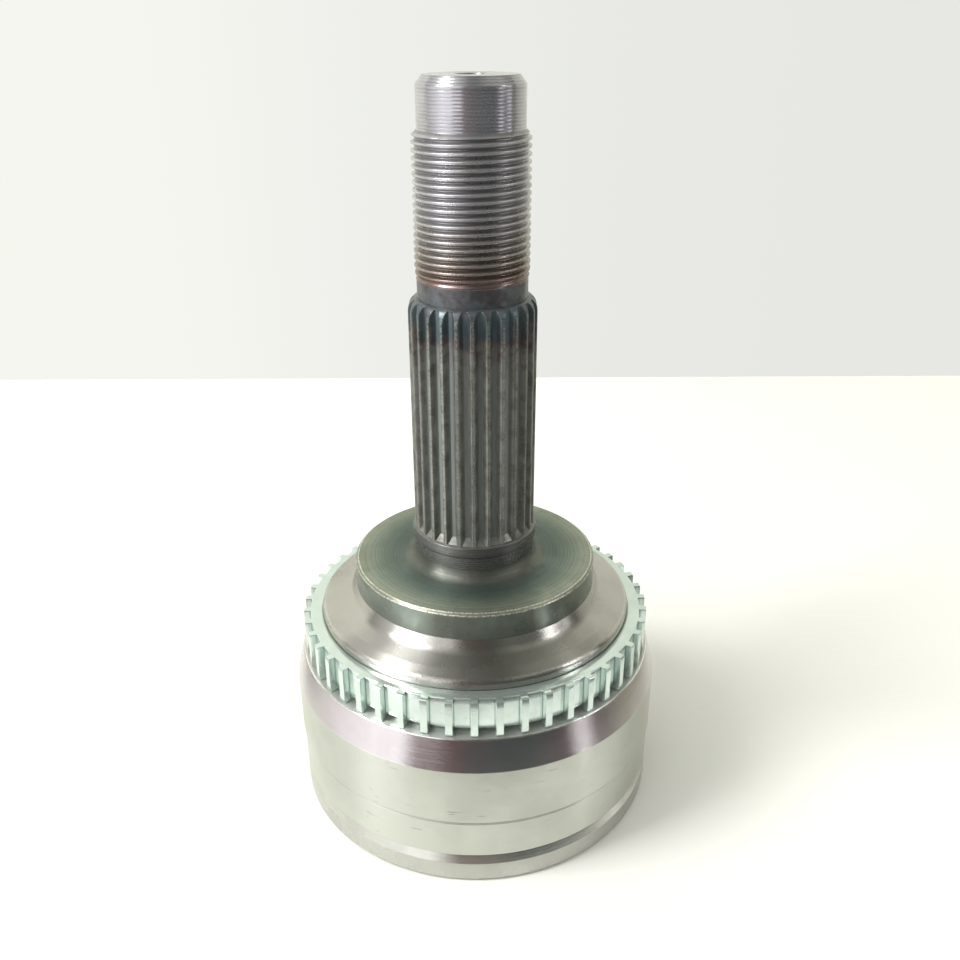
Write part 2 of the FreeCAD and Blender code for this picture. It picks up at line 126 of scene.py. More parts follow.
@dataclass(frozen=True)
class Metal:
    """One bare or plated steel finish, by what made its surface.

    Colour is a base with soft stains of a second colour. Turning leaves fine rings along the
    profile and spreads gloss across them, and the rings' troughs are drawn darker as painted shade.
    Edges are drawn bright, as wear on the flange and as a painted highlight on the bevel's top edge
    and the spline's crests. The low places take a colour of their own, which is painted shade on the
    sensor ring and painted light that lifts the spline's grooves.
    """

    name: str
    base: str
    stain: str
    roughness: float
    spread: float = 0.06         # roughness added where stained
    stain_mm: float = 14.0       # size of a stain
    stain_share: float = 0.5
    metallic: float = 1.0        # under 1 where a dull oxide skin scatters part of the light
    turned: float = 0.0          # how far gloss spreads across the turning rings
    ring_mm: float = 0.0         # spacing of turning rings; 0 leaves them out
    ring_depth: float = 0.0      # bump strength of the rings
    ring_dark: float = 0.0       # painted shade: how much darker the rings' troughs are drawn
    ring_even: float = 0.0       # share of the rings that keeps an even tool pitch
    grain_mm: float = 0.25
    grain_depth: float = 0.05
    low: str = ""                # colour drawn in the low places: painted shade on the sensor ring, painted light in the spline's grooves
    edge: str = ""               # colour of bright edges: wear on the flange, a painted highlight on the bevel and the spline's crests
    edge_share: float = 0.0
    nicks: float = 0.0           # darkness of small knocks
    across: bool = False         # temper colours run outwards instead of upwards
    temper: tuple[tuple[float, str], ...] = field(default=())  # distance in mm to colour
    wander_mm: float = 6.0       # how far the temper colours wander

    def build(self) -> bpy.types.Material:
        """Make the material.

        Returns:
            The finished material.
        """
        made = bpy.data.materials.new(self.name)
        made.use_nodes = True
        tree = made.node_tree
        tree.nodes.clear()
        place = node(tree, "ShaderNodeTexCoord").outputs["Object"]
        stains = node(
            tree, "ShaderNodeTexNoise",
            {"Vector": place, "Scale": 1000 / self.stain_mm, "Detail": 5.0, "Roughness": 0.6},
        )
        spots = node(tree, "ShaderNodeMapRange", {"Value": stains, "From Min": 0.42, "From Max": 0.62})
        colour = self.colour(tree, place, stains, spots)
        rough = node(
            tree, "ShaderNodeMath", {0: spots, 1: self.spread, 2: self.roughness}, operation="MULTIPLY_ADD",
        )
        shader = node(
            tree, "ShaderNodeBsdfPrincipled",
            {
                "Base Color": colour, "Metallic": self.metallic, "Roughness": rough,
                "Normal": self.bump(tree, place),
            },
        )
        if self.turned:
            shader.inputs["Anisotropic"].default_value = self.turned
            shader.inputs["Anisotropic Rotation"].default_value = 0.25
            tangent = node(tree, "ShaderNodeTangent", direction_type="RADIAL", axis="Z")
            tree.links.new(tangent.outputs[0], shader.inputs["Tangent"])
        node(tree, "ShaderNodeOutputMaterial", {"Surface": shader})
        return made

    def colour(
        self, tree: bpy.types.NodeTree, place: bpy.types.NodeSocket, stains: bpy.types.Node,
        spots: bpy.types.Node,
    ) -> bpy.types.Node:
        """Colour of the finish: base, stains, temper, low places, ring troughs darkened as painted shade,
        bright edges that are partly wear and partly painted highlight, and knocks.

        Args:
            tree: Material's node tree.
            place: Object coordinates.
            stains: Noise behind the stains.
            spots: The same noise, drawn up to soft-edged stains.

        Returns:
            The node whose first output is the colour.
        """
        amount = node(tree, "ShaderNodeMath", {0: spots, 1: self.stain_share}, operation="MULTIPLY")
        colour = node(
            tree, "ShaderNodeMix", {0: amount, MIX_A: self.base, MIX_B: self.stain}, data_type="RGBA",
        )
        if self.low:
            # Low places take the low colour: painted shade on the sensor ring, painted light lifting the
            # spline's grooves.
            height = node(tree, "ShaderNodeAttribute", attribute_name="height").outputs["Fac"]
            depth = node(tree, "ShaderNodeMapRange", {"Value": height, "From Min": 0.45, "From Max": 0.0})
            colour = node(
                tree, "ShaderNodeMix", {0: depth, MIX_A: colour, MIX_B: self.low}, data_type="RGBA",
            )
        if self.temper:
            keep = (1000.0, 1000.0, 0.0) if self.across else (0.0, 0.0, 1000.0)
            part = node(tree, "ShaderNodeVectorMath", {0: place, 1: keep}, operation="MULTIPLY")
            level = node(tree, "ShaderNodeVectorMath", {0: part}, operation="LENGTH").outputs["Value"]
            wobble = node(
                tree, "ShaderNodeMath", {0: stains, 1: self.wander_mm, 2: -0.5 * self.wander_mm},
                operation="MULTIPLY_ADD",
            )
            uneven = node(tree, "ShaderNodeMath", {0: level, 1: wobble}, operation="ADD")
            low, high = self.temper[0][0], self.temper[-1][0]
            span = node(tree, "ShaderNodeMapRange", {"Value": uneven, "From Min": low, "From Max": high})
            tint = node(
                tree, "ShaderNodeValToRGB", {0: span},
                tuple(((z - low) / (high - low), c) for z, c in self.temper),
            )
            colour = node(
                tree, "ShaderNodeMix", {0: 1.0, MIX_A: colour, MIX_B: tint}, data_type="RGBA",
                blend_type="MULTIPLY",
            )
        if self.ring_dark:
            # Painted shade: the troughs of the turning rings are darkened.
            trough = node(
                tree, "ShaderNodeMapRange",
                {"Value": self.rings(tree), "From Min": 0.5, "From Max": 0.35, "To Max": self.ring_dark},
            )
            colour = node(
                tree, "ShaderNodeMix", {0: trough, MIX_A: colour, MIX_B: self.stain}, data_type="RGBA",
                blend_type="MULTIPLY",
            )
        if self.edge:
            # Bright edges: wear on the flange, a painted highlight on the bevel's top edge and the spline's
            # crests.
            wear_and_highlight = node(tree, "ShaderNodeAttribute", attribute_name="edge").outputs["Fac"]
            edge_mottle = node(tree, "ShaderNodeTexNoise", {"Vector": place, "Scale": 2200.0, "Detail": 3.0})
            bright = node(
                tree, "ShaderNodeMapRange",
                {"Value": edge_mottle, "From Min": 0.38, "From Max": 0.56, "To Max": self.edge_share},
            )
            share = node(tree, "ShaderNodeMath", {0: wear_and_highlight, 1: bright}, operation="MULTIPLY")
            colour = node(
                tree, "ShaderNodeMix", {0: share, MIX_A: colour, MIX_B: self.edge}, data_type="RGBA",
            )
        if self.nicks:
            drawn = node(
                tree, "ShaderNodeVectorMath", {0: place, 1: (1.0, 1.0, KNOCK_STRETCH)},
                operation="MULTIPLY",
            )
            knocks = node(
                tree, "ShaderNodeTexNoise",
                {"Vector": drawn, "Scale": 150.0, "Detail": 2.0, "Roughness": 0.6},
            )
            dark = node(
                tree, "ShaderNodeMapRange",
                {"Value": knocks, "From Min": 0.70, "From Max": 0.73, "To Max": self.nicks},
            )
            colour = node(
                tree, "ShaderNodeMix", {0: dark, MIX_A: colour, MIX_B: KNOCK_COLOUR}, data_type="RGBA",
            )
        return colour

    def bump(self, tree: bpy.types.NodeTree, place: bpy.types.NodeSocket) -> bpy.types.Node:
        """Fine relief: an even grain, and turning rings where the piece was turned.

        Args:
            tree: Material's node tree.
            place: Object coordinates.

        Returns:
            The node whose first output is the normal.
        """
        grain = node(
            tree, "ShaderNodeTexNoise", {"Vector": place, "Scale": 1000 / self.grain_mm, "Detail": 2.0},
        )
        bump = node(
            tree, "ShaderNodeBump",
            {"Strength": self.grain_depth, "Distance": BUMP_MM * MM, "Height": grain},
        )
        if not self.ring_mm:
            return bump
        return node(
            tree, "ShaderNodeBump",
            {
                "Strength": self.ring_depth, "Distance": BUMP_MM * MM, "Height": self.rings(tree),
                "Normal": bump,
            },
        )

    def rings(self, tree: bpy.types.NodeTree) -> bpy.types.Node:
        """Turning rings: noise that changes only along the turned profile.

        Args:
            tree: Material's node tree.

        Returns:
            The node whose first output is the rings' height.
        """
        along = node(tree, "ShaderNodeAttribute", attribute_name="along").outputs["Fac"]
        count = node(tree, "ShaderNodeMath", {0: along, 1: self.ring_mm}, operation="DIVIDE")
        uneven = node(
            tree, "ShaderNodeTexNoise", {"W": count, "Scale": 1.0, "Detail": 3.0, "Roughness": 0.7},
            noise_dimensions="1D",
        )
        if not self.ring_even:
            return uneven
        turns = node(tree, "ShaderNodeMath", {0: count, 1: 2 * math.pi}, operation="MULTIPLY")
        wave = node(tree, "ShaderNodeMath", {0: turns}, operation="SINE")
        level = node(tree, "ShaderNodeMath", {0: wave, 1: 0.22, 2: 0.46}, operation="MULTIPLY_ADD")
        return node(tree, "ShaderNodeMix", {0: self.ring_even, MIX_VALUE_A: uneven, MIX_VALUE_B: level})


# Boot seat and bell, finish ground: pale, with a gloss drawn out across the grinding marks.
GROUND = Metal(
    "ground_steel", "#cbcdc5", "#bfc2b9", 0.22, 0.04, 20.0, 0.5, turned=1.0, ring_mm=0.12, ring_depth=0.05,
    nicks=0.6,
)
# Boot groove, form turned: a little rougher than the ground band.
GROOVE = Metal(
    "turned_groove_steel", "#d2d2cc", "#bebfb8", 0.12, 0.06, 9.0, 0.5, turned=0.9, ring_mm=0.15,
    ring_depth=0.12,
)
# Rim of the mouth, turned: a colder grey than the ground band.
RIM = Metal(
    "turned_rim_steel", "#c3c4be", "#b6b7b0", 0.26, 0.05, 14.0, 0.5, turned=0.9, ring_mm=0.2,
    ring_depth=0.08,
)
# Shoulder under the sensor ring, faced: pale and soft, drawn paler and part matt as painted light that
# lifts the shade under the ring.
FACED_PAINTED_LIGHT = Metal(
    "faced_steel_painted_light", "#dcdcd8", "#d0d0cb", 0.30, 0.05, 14.0, 0.5, metallic=0.8, turned=0.9, ring_mm=0.2,
    ring_depth=0.08,
)
# Bevel, finish turned with a sharp tool: bright, with clear rings, and a near-white line on its top
# edge that is a painted highlight.
CONE = Metal(
    "turned_bevel_steel", "#dad4d6", "#cac2c4", 0.13, 0.04, 16.0, 0.5, turned=0.97, ring_mm=0.22,
    ring_depth=0.10, edge="#fbfaf8", edge_share=1.0,
)
# Back of the bell, finish turned: polished, with soft rings.
BACK = Metal(
    "turned_back_steel", "#bcbab6", "#aaa7a1", 0.23, 0.05, 12.0, 0.5, turned=0.95, ring_mm=0.3,
    ring_depth=0.08, edge="#e4e0da", edge_share=0.5,
)
# Hub face and seal land, turned then heated: a thin grey-green scale, chipped bright at the edge.
SCALED = Metal(
    "heat_scaled_steel", "#9fa69e", "#858d85", 0.30, 0.12, 7.0, 0.6, metallic=0.75, turned=0.8, ring_mm=0.3,
    ring_depth=0.5, ring_dark=0.4, grain_mm=0.3, grain_depth=0.08, edge="#e6e4d6", edge_share=1.0,
    across=True,
    temper=(
        (14.0, "#b4afac"), (15.8, "#b2afad"), (17.4, "#a3b0af"), (20.0, "#a8b6b3"), (23.0, "#cfd7cf"),
        (25.5, "#f0f1e6"), (29.0, "#fbf6ea"),
    ),
)
# Side of the flange, finish turned for the seal and then heated: dark and glossy.
SEAL = Metal(
    "scaled_seal_land_steel", "#828980", "#70776f", 0.20, 0.08, 6.0, 0.6, metallic=0.7, turned=0.85,
    ring_mm=0.2, ring_depth=0.06, edge="#e6e4d6", edge_share=1.0,
)
# Neck and its fillet, rough turned: browner, with clear tool marks whose troughs are darkened as
# painted shade. The same finish on the step above the scribed line is painted shade on its downward face.
NECK = Metal(
    "turned_neck_steel", "#868684", "#6c6c6a", 0.26, 0.08, 6.0, 0.6, metallic=0.75, turned=0.7,
    ring_mm=0.45, ring_depth=0.5, ring_dark=0.6, ring_even=0.4,
)
# Spline, rolled then induction hardened: dark grey with a blue and straw bloom at its top. Its crests
# are drawn pale as a painted highlight, and its grooves take a lifted grey, painted light against their
# shade.
SPLINE = Metal(
    "hardened_spline_steel", "#83857f", "#5f5c55", 0.32, 0.10, 3.2, 0.75, metallic=0.62, grain_mm=0.35,
    grain_depth=0.12, low="#858a87", edge="#b9bdb8", edge_share=0.35,
    temper=(
        (66.0, "#ffffff"), (108.5, "#ffffff"), (112.5, "#ece6e8"), (115.0, "#cfbdc4"), (117.0, "#a6bac8"),
        (119.5, "#b4c6d2"), (122.0, "#ccd0e2"), (125.5, "#c4c2d2"),
    ),
    wander_mm=16.0,
)
# Thread, rolled: warm grey steel, straw to brown next to the hardened spline.
THREAD = Metal(
    "rolled_thread_steel", "#bab9bc", "#a2a0a2", 0.26, 0.08, 5.0, 0.5, metallic=0.85, grain_mm=0.4,
    grain_depth=0.10, low="#8e8d90", edge="#dbd9da", edge_share=0.3,
    temper=(
        (121.0, "#b2b6be"), (124.4, "#b5b6be"), (126.0, "#b89c95"), (128.5, "#cfbfae"), (132.0, "#e6dfd6"),
        (140.0, "#ffffff"), (170.0, "#ffffff"),
    ),
)
# End of the stub, finish turned: bright with a clear tool pitch.
PILOT = Metal(
    "turned_pilot_steel", "#bfbec4", "#a9a7ab", 0.20, 0.05, 8.0, 0.5, metallic=0.85, turned=0.6,
    ring_mm=0.65, ring_depth=0.35, ring_dark=0.35, ring_even=0.6,
)
# Sensor ring, stamped and zinc plated: pale, faintly green, soft sheen. Its low colour is painted shade:
# a dark line at the bore where it meets the dome, and lines in the panel corners beside each tooth.
ZINC = Metal(
    "zinc_plated_steel", "#dbe8e3", "#ccdad5", 0.15, 0.06, 6.0, 0.5, metallic=0.85, grain_mm=0.3,
    grain_depth=0.05, low="#9aada7", edge="#f3f8f5", edge_share=0.5,
)
# Inside of the bell, turned and left dark by hardening.
INSIDE = Metal(
    "hardened_bell_steel", "#6b6a67", "#565552", 0.34, 0.08, 8.0, 0.5, grain_mm=0.4, grain_depth=0.12,
)
# Cage, hardened and blacked by phosphate.
CAGE = Metal(
    "phosphated_cage_steel", "#4d4c4b", "#3c3b3b", 0.42, 0.08, 6.0, 0.5, metallic=0.8, grain_mm=0.2,
    grain_depth=0.15,
)
# Inner race, ground tracks on a hardened body.
RACE = Metal(
    "ground_race_steel", "#a6a49f", "#8f8d88", 0.24, 0.06, 7.0, 0.5, grain_mm=0.4, grain_depth=0.06,
)
# Bearing balls, lapped: near mirror.
BALL = Metal("lapped_ball_steel", "#d5d5d3", "#cbcbc9", 0.06, 0.02, 10.0, 0.3)
# Ring in the inner race, drawn spring wire.
WIRE = Metal("drawn_spring_wire", "#5a5a5c", "#48484a", 0.35, 0.05, 5.0, 0.4)


# ---------------------------------------------------------------- surfaces
@dataclass
class Profile:
    """Rounded outline of a turned piece in the (radius, z) plane.

    Each corner is (radius, z, rounding, zone). A rounding replaces the corner by an arc tangent to
    both sides. Straight runs get points close to their ends, so shading stays flat between arcs.
    """

    corners: list[tuple[float, float, float, Zone]]
    arc_points: int = 5
    step: float = 2.0
    bright_edge_under: float = 1.5          # an outward arc smaller than this is drawn bright: wear on the flange, a painted highlight on the bevel

    def points(self) -> tuple[np.ndarray, np.ndarray, np.ndarray, np.ndarray]:
        """Sample the outline.

        Returns:
            Points as (n, 2), length along the outline, edge weight, and zone of each run.
        """
        found: list[np.ndarray] = []
        wear_and_highlight: list[float] = []
        zones: list[int] = []
        xy = np.array([c[:2] for c in self.corners], dtype=float)
        for i, (_, _, wanted, zone) in enumerate(self.corners):
            here = xy[i]
            pieces = [here[None]]
            weight = 0.0
            if wanted > 0 and 0 < i < len(xy) - 1:
                back, ahead = xy[i - 1] - here, xy[i + 1] - here
                before, after = (0.48 if self.corners[j][2] else 0.96 for j in (i - 1, i + 1))
                reach = min(before * np.linalg.norm(back), after * np.linalg.norm(ahead))
                back, ahead = back / np.linalg.norm(back), ahead / np.linalg.norm(ahead)
                half = math.acos(float(np.clip(back @ ahead, -1, 1))) / 2
                setback = min(wanted / math.tan(half), reach)
                radius = setback * math.tan(half)
                middle = here + (back + ahead) / np.linalg.norm(back + ahead) * radius / math.sin(half)
                first, last = here + back * setback - middle, here + ahead * setback - middle
                share = np.linspace(0, 1, self.arc_points)[:, None]
                swing = math.acos(float(np.clip(first @ last / radius ** 2, -1, 1)))
                blend = np.sin((1 - share) * swing) * first + np.sin(share * swing) * last
                pieces = [middle + blend / math.sin(swing)]
                turn = back[0] * ahead[1] - back[1] * ahead[0]
                weight = 1.0 if turn < 0 and wanted < self.bright_edge_under else 0.0
            if found:
                gap = pieces[0][0] - found[-1]
                span = float(np.linalg.norm(gap))
                inner = min(0.12, span / 4)
                count = max(int(span / self.step), 1)
                marks = np.linspace(inner, span - inner, count + 1)
                zones[-1] = zone.value
                for mark in marks if span > 0.3 else []:
                    found.append(pieces[0][0] - gap * (1 - mark / span))
                    wear_and_highlight.append(0.0)
                    zones.append(zone.value)
            for point in pieces[0]:
                found.append(point)
                wear_and_highlight.append(weight)
                zones.append(zone.value)
        made = np.array(found)
        along = np.concatenate([[0.0], np.cumsum(np.linalg.norm(np.diff(made, axis=0), axis=1))])
        return made, along, np.array(wear_and_highlight), np.array(zones)


@dataclass
class Skin:
    """Grid surface round the joint's axis, with its values for the shaders."""

    name: str
    points: np.ndarray                 # rows, columns, 3, in mm
    along: np.ndarray                  # rows
    edge: np.ndarray                   # rows, or rows by columns
    height: np.ndarray                 # rows, or rows by columns; 0 low to 1 high
    zones: np.ndarray                  # rows
    close: tuple[bool, bool] = (True, True)

    def build(self, materials: list[bpy.types.Material], sharp: float = 40.0) -> bpy.types.Object:
        """Write the mesh: quads between rows, and a fan to a pole at each closed end.

        Args:
            materials: One for each zone number used.
            sharp: Angle in degrees above which an edge is drawn sharp.

        Returns:
            The new object.
        """
        rows, cols = self.points.shape[:2]
        index = np.arange(rows * cols).reshape(rows, cols)
        right = np.roll(index, -1, axis=1)
        quads = np.stack([index[:-1], right[:-1], right[1:], index[1:]], axis=-1).reshape(-1, 4)
        verts = [self.points.reshape(-1, 3)]
        fans = []
        for end, row in ((0, 0), (1, rows - 1)):
            if not self.close[end]:
                continue
            pole = rows * cols + len(verts) - 1
            verts.append(self.points[row].mean(axis=0)[None])
            ring = (right[row], index[row]) if end == 0 else (index[row], right[row])
            fans.append(np.stack([*ring, np.full(cols, pole)], axis=-1))
        every = np.concatenate(verts) * MM
        tris = np.concatenate(fans) if fans else np.zeros((0, 3), dtype=int)
        mesh = bpy.data.meshes.new(self.name)
        mesh.vertices.add(len(every))
        mesh.vertices.foreach_set("co", every.ravel())
        mesh.loops.add(quads.size + tris.size)
        mesh.loops.foreach_set("vertex_index", np.concatenate([quads.ravel(), tris.ravel()]))
        sizes = np.concatenate([np.full(len(quads), 4), np.full(len(tris), 3)])
        mesh.polygons.add(len(sizes))
        mesh.polygons.foreach_set("loop_start", np.concatenate([[0], np.cumsum(sizes)[:-1]]))
        slots = np.concatenate([np.repeat(self.zones[:-1], cols), np.zeros(len(tris), dtype=int)])
        if self.close[1] and len(tris):
            slots[-cols:] = self.zones[-1]
        mesh.polygons.foreach_set("material_index", slots)
        mesh.update(calc_edges=True)
        extra = len(every) - rows * cols
        for name, values in (("along", self.along), ("edge", self.edge), ("height", self.height)):
            full = np.broadcast_to(values[:, None] if values.ndim == 1 else values, (rows, cols)).ravel()
            layer = mesh.attributes.new(name, "FLOAT", "POINT")
            layer.data.foreach_set("value", np.concatenate([full, np.full(extra, full[-1])]))
        for material in materials:
            mesh.materials.append(material)
        mesh.shade_smooth()
        mesh.set_sharp_from_angle(angle=math.radians(sharp))
        made = bpy.data.objects.new(self.name, mesh)
        bpy.context.scene.collection.objects.link(made)
        return made


def swept(profile: np.ndarray, radius: np.ndarray, turn: np.ndarray) -> np.ndarray:
    """Carry radii round the axis.

    Args:
        profile: Rows of (radius, z).
        radius: Radius at each row and column.
        turn: Angle of each column, in radians.

    Returns:
        Points as rows by columns by 3: (r cos t, r sin t, z).
    """
    z = np.broadcast_to(profile[:, 1:2], radius.shape)
    return np.stack([radius * np.cos(turn), radius * np.sin(turn), z], axis=-1)


@dataclass
class Forging:
    """Outer race: bell, flange and stub axle."""

    rim_r: float = 43.19
    bell_r: float = 43.49
    shoulder_r: float = 41.59
    seat_r: float = 36.39
    mouth_r: float = 36.69
    flange_r: float = 28.0
    neck_r: float = 13.85
    collar_r: float = 14.25
    spline_r: float = 13.7
    root_r: float = 12.45
    relief_r: float = 11.65
    thread_r: float = 12.0
    thread_root_r: float = 11.2
    pitch: float = 1.5
    pilot_r: float = 10.85
    teeth: int = 26
    tooth_tip: float = 0.20            # share of a tooth pitch that is tooth, at the tip
    space_root: float = 0.72           # share of a tooth pitch from mid tooth to the flat root
    shoulder_z: float = 38.6
    back_z: float = 49.2
    flange_z: float = 54.1
    face_z: float = 60.5
    spline_z: float = 68.4
    spline_top: float = 121.6
    thread_z: float = 124.8
    pilot_z: float = 154.7
    top_z: float = 164.5
    inside_r: float = 35.0             # the frame's inside lies within this radius
    columns: int = 480
    rim_z: float = 5.1
    groove_in: float = 0.9             # depth of the boot groove
    groove_z: float = 7.0              # where its slope ends
    seat_z: float = 7.8
    scribe_z: float = 16.6             # line scribed above the boot seat
    bevel_z: float = 31.3
    collar_z: float = 65.9
    flange_edge: float = 0.6
    neck_fillet: float = 4.8
    pilot_edge: tuple[float, float] = (1.3, 1.7)    # in and down
    centre_r: float = 3.2
    drill_r: float = 1.3
    drill_z: tuple[float, float] = (3.29, 8.35)     # below the end: foot of the cone, foot of the drill
    crest: float = 0.80                # share of the thread's wave above which it is cut flat
    root: float = 0.14                 # and below which

    def bell(self) -> bpy.types.Object:
        """Bell, flange and neck: one profile turned about the axis.

        Returns:
            The bell's skin.
        """
        z = Zone
        inner = self.mouth_r - 0.6
        profile = Profile([
            (inner, 0.9, 0.0, z.BAND),
            (self.mouth_r, 0.25, 0.0, z.BAND),
            (self.mouth_r + 0.4, 0.0, 0.2, z.BAND),
            (self.rim_r, 0.0, 1.2, z.RIM),
            (self.rim_r, self.rim_z, 0.4, z.RIM),
            (self.rim_r - self.groove_in, self.groove_z, 0.3, z.GROOVE),
            (self.rim_r - self.groove_in, self.seat_z, 0.1, z.GROOVE),
            (self.rim_r, self.seat_z, 0.2, z.GROOVE),
            (self.rim_r, self.scribe_z, 0.1, z.BAND),
            (self.rim_r - 0.1, 17.0, 0.1, z.BAND),
            # step above the scribed line: the darker neck finish here is painted shade on its downward face
            (self.bell_r, 17.5, 0.15, z.NECK),
            (self.bell_r, self.bevel_z, 0.3, z.BAND),
            # the bevel's top edge carries the painted highlight line
            (self.shoulder_r, self.shoulder_z, 0.3, z.CONE),
            # the shoulder under the ring takes the paler finish: painted light against the ring's shade
            (self.seat_r, self.shoulder_z, 0.15, z.FACED_PAINTED_LIGHT),
            (self.seat_r, self.back_z, 1.2, z.BACK),
            (self.seat_r - 2.8, self.back_z + 1.3, 4.0, z.BACK),
            (self.flange_r + 1.6, self.flange_z - 2.2, 3.0, z.BACK),
            (self.flange_r, self.flange_z, 0.2, z.BACK),
            (self.flange_r, self.face_z - 0.5, 0.25, z.SEAL),
            (self.flange_r - self.flange_edge, self.face_z, 0.25, z.FLANGE),
            (self.neck_r + 5.0, self.face_z, 0.0, z.FLANGE),
            (self.neck_r, self.face_z, self.neck_fillet, z.FLANGE),
            (self.neck_r, self.collar_z, 0.1, z.NECK),
            (self.collar_r, 66.3, 0.12, z.NECK),
            (self.collar_r, self.spline_z, 0.3, z.NECK),
            (self.spline_r - 0.3, self.spline_z + 0.35, 0.0, z.NECK),
        ])
        points, along, edge, zones = profile.points()
        turn = np.linspace(0, 2 * np.pi, self.columns, endpoint=False)[None]
        radius = np.repeat(points[:, :1], self.columns, axis=1)
        # the flange's worn edge: its arc gives way by a few hundredths, unevenly round
        dent = 0.03 * np.sin(turn * 23) * np.sin(turn * 7 + 1) + 0.02 * np.sin(turn * 51 + 2)
        radius = radius - edge[:, None] * (points[:, 1:2] > 58) * (points[:, :1] > 27) * np.abs(dent)
        skin = Skin(
            "outer_race_bell", swept(points, radius, turn), along, edge, np.ones(len(points)), zones,
            (False, True),
        )
        return skin.build([m.build() for m in (GROUND, GROOVE, CONE, BACK, SCALED, NECK, SEAL, FACED_PAINTED_LIGHT, RIM)])

    def spline(self) -> bpy.types.Object:
        """Splined length with its run-out, rounded shoulder and the relief above.

        Radius is the tooth shape, a wave held flat at tip and root, raised by the straight
        run-out at the foot and lowered to the shoulder's arc at the top.

        Returns:
            The spline's skin.
        """
        per_tooth = 24
        turn = np.linspace(0, 2 * np.pi, self.teeth * per_tooth, endpoint=False)[None]
        foot, top = self.spline_z - 0.4, self.spline_top
        z = np.concatenate([
            np.linspace(foot, foot + 3.2, 30),
            np.linspace(foot + 4.2, top - 5.5, 16),
            np.linspace(top - 4.6, top, 42),
            np.linspace(top + 0.15, self.thread_z + 0.6, 12),
        ])[:, None]
        phase = np.abs((turn * self.teeth / (2 * np.pi)) % 1.0 - 0.5) * 2
        flank = np.clip((self.space_root - phase) / (self.space_root - self.tooth_tip), 0, 1)
        flank = flank * flank * (3 - 2 * flank) * 0.45 + flank * 0.55
        tooth = self.root_r + (self.spline_r - self.root_r) * flank
        rise = self.root_r + (foot + 2.3 - z) * (self.spline_r - self.root_r) / 1.9
        low = top - 3.2
        share = np.clip((z - low) / (top - low), 0, 1)
        shoulder = self.spline_r - (self.spline_r - self.relief_r) * (
            1 - np.sqrt(np.clip(1 - share ** 2.2, 0, 1))
        )
        cap = np.where(z > top, self.relief_r, shoulder)
        radius = np.minimum(np.minimum(np.maximum(tooth, rise), self.spline_r + 0.02), cap)
        radius = np.where(z > top, self.relief_r, radius)
        # Grooves (low height) take the lifted low colour: painted light against their shade.
        height = np.clip((radius - self.root_r) / (self.spline_r - self.root_r), 0, 1)
        height = np.where(z > top - 0.6, 0.8, height)
        # Crests of the teeth take the pale edge colour: a painted highlight along them.
        edge = np.clip(1 - phase / (self.tooth_tip + 0.03), 0, 1) ** 0.5 * np.ones_like(z) * (z < top - 2)
        rows = np.concatenate([radius[:, :1] * 0, z], axis=1)
        skin = Skin(
            "outer_race_spline", swept(rows, radius, turn), z[:, 0] - foot, edge, height,
            np.zeros(len(z), dtype=int),
        )
        return skin.build([SPLINE.build()], 30.0)

    def thread(self) -> bpy.types.Object:
        """Right-hand thread, faded at its foot and bevelled at its top.

        Radius is a triangle wave of (z / pitch - turn / full turn), held flat at crest and root.

        Returns:
            The thread's skin.
        """
        cols = 192
        rows_up = 440
        turn = np.linspace(0, 2 * np.pi, cols, endpoint=False)[None]
        low = self.thread_z + 0.2
        z = np.linspace(low, self.pilot_z, rows_up)[:, None]
        phase = (z / self.pitch - turn / (2 * np.pi)) % 1.0
        wave = np.abs(2 * phase - 1)
        wave = np.clip((wave - self.root) / (self.crest - self.root), 0, 1)
        wave = 0.5 * wave + 0.5 * wave * wave * (3 - 2 * wave)
        fade = np.clip((z - low - turn / (2 * np.pi) * 0.6) / 2.2, 0, 1)
        depth = self.thread_r - self.thread_root_r
        valley = self.relief_r - (self.relief_r - self.thread_root_r) * fade
        radius = valley + (self.thread_r - valley) * wave * fade ** 0.5
        bevel = self.pilot_r + (self.pilot_z - z) * 1.1 - 0.1
        radius = np.minimum(radius, np.maximum(bevel, self.pilot_r))
        height = np.clip((radius - self.thread_root_r) / depth, 0, 1)
        edge = np.clip((height - 0.85) / 0.15, 0, 1)
        rows = np.concatenate([z * 0, z], axis=1)
        skin = Skin(
            "outer_race_thread", swept(rows, radius, turn), z[:, 0] - low, edge, height,
            np.zeros(len(z), dtype=int),
        )
        return skin.build([THREAD.build()], 50.0)

    def pilot(self) -> bpy.types.Object:
        """Plain turned end with its bevel and lathe centre.

        Returns:
            The end's skin.
        """
        band = Zone.BAND
        profile = Profile([
            (self.pilot_r - 0.4, self.pilot_z - 0.6, 0.0, band),
            (self.pilot_r, self.pilot_z - 0.3, 0.1, band),
            (self.pilot_r, self.top_z - self.pilot_edge[1], 0.25, band),
            (self.pilot_r - self.pilot_edge[0], self.top_z, 0.15, band),
            (self.centre_r, self.top_z, 0.1, band),
            (self.drill_r, self.top_z - self.drill_z[0], 0.0, band),
            (self.drill_r, self.top_z - self.drill_z[1], 0.0, band),
            (0.05, self.top_z - 9.0, 0.0, band),
        ], step=0.8)
        points, along, edge, zones = profile.points()
        cols = 256
        turn = np.linspace(0, 2 * np.pi, cols, endpoint=False)[None]
        radius = np.repeat(points[:, :1], cols, axis=1)
        skin = Skin(
            "outer_race_pilot", swept(points, radius, turn), along, edge, np.ones(len(points)), zones,
        )
        return skin.build([PILOT.build()])

